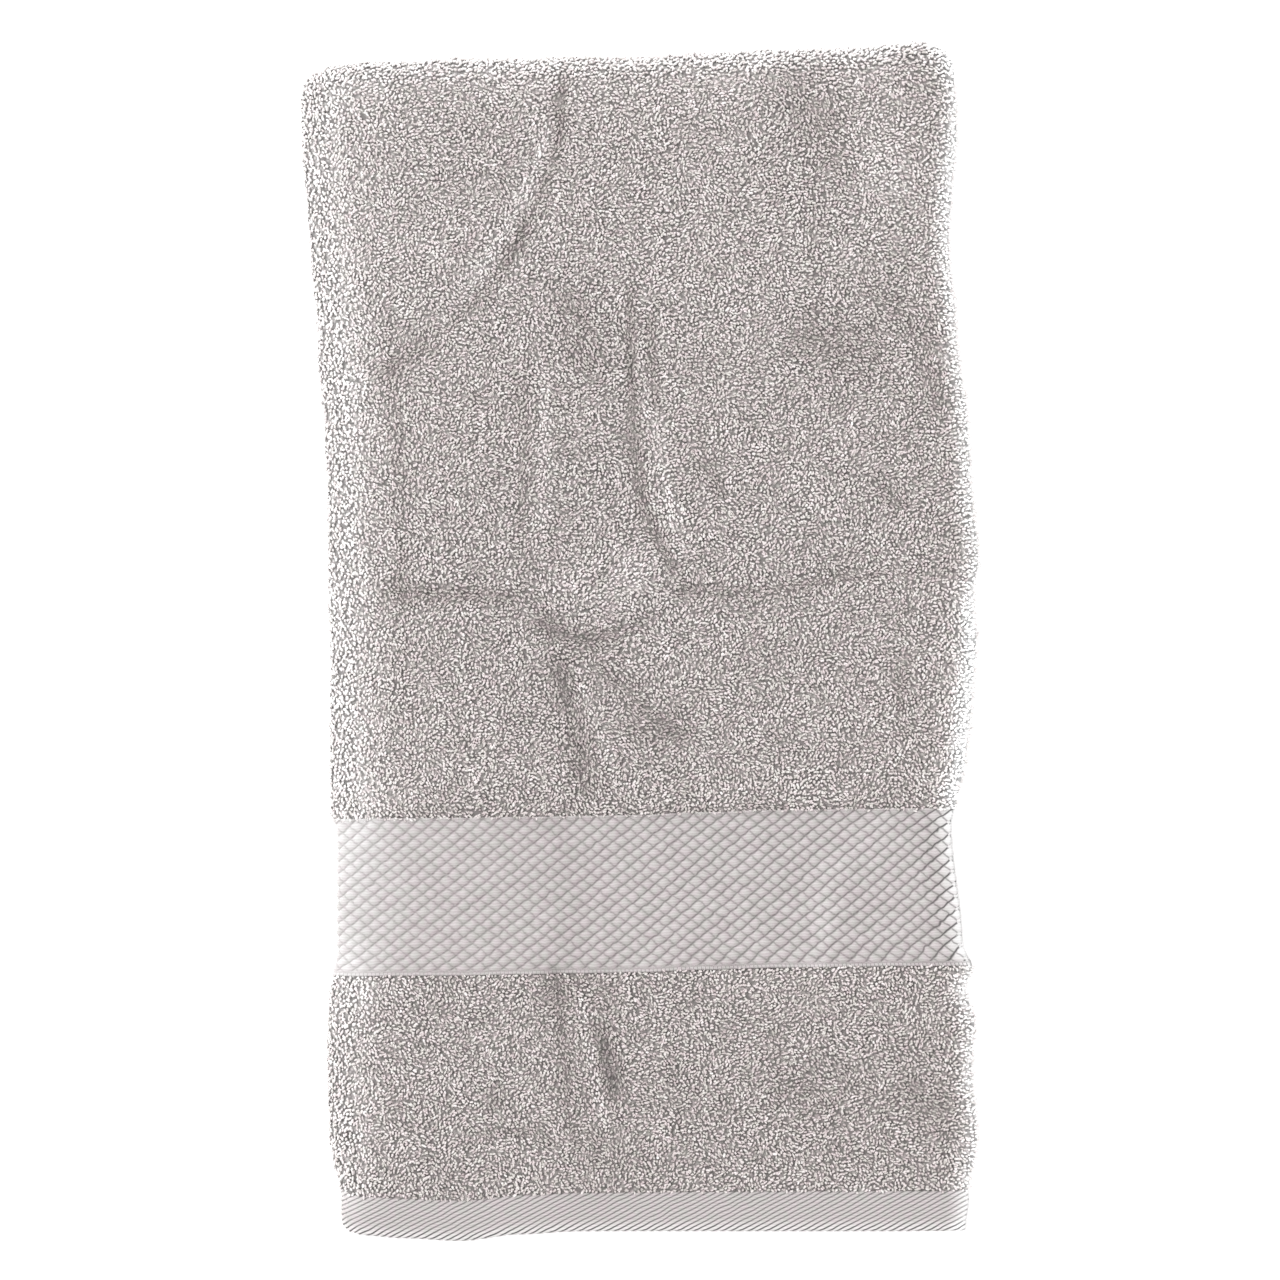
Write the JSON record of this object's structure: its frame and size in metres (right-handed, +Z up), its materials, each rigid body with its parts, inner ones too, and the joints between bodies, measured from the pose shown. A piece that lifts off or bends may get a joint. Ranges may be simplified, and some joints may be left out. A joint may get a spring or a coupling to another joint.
{
  "type": "folded bath towel",
  "caption": "Terry bath towel with a woven dobby border and a turned hem, folded in half lengthwise and crosswise and lying flat.",
  "frame": {"origin": "middle of the underside of the folded towel's box", "axes": "+Z up from the surface it lies on, +Y along its length from the hems to the crosswise fold, +X across it from the lengthwise folds to the selvedges"},
  "size_m": [0.3974, 0.7054, 0.0239],
  "materials": {
    "terry_cotton": "matt looped cotton pile in a warm light grey, with a flatter woven border and hem of the same yarn"
  },
  "bodies": {
    "root": {"towel": "terry_cotton"}
  },
  "joints": []
}
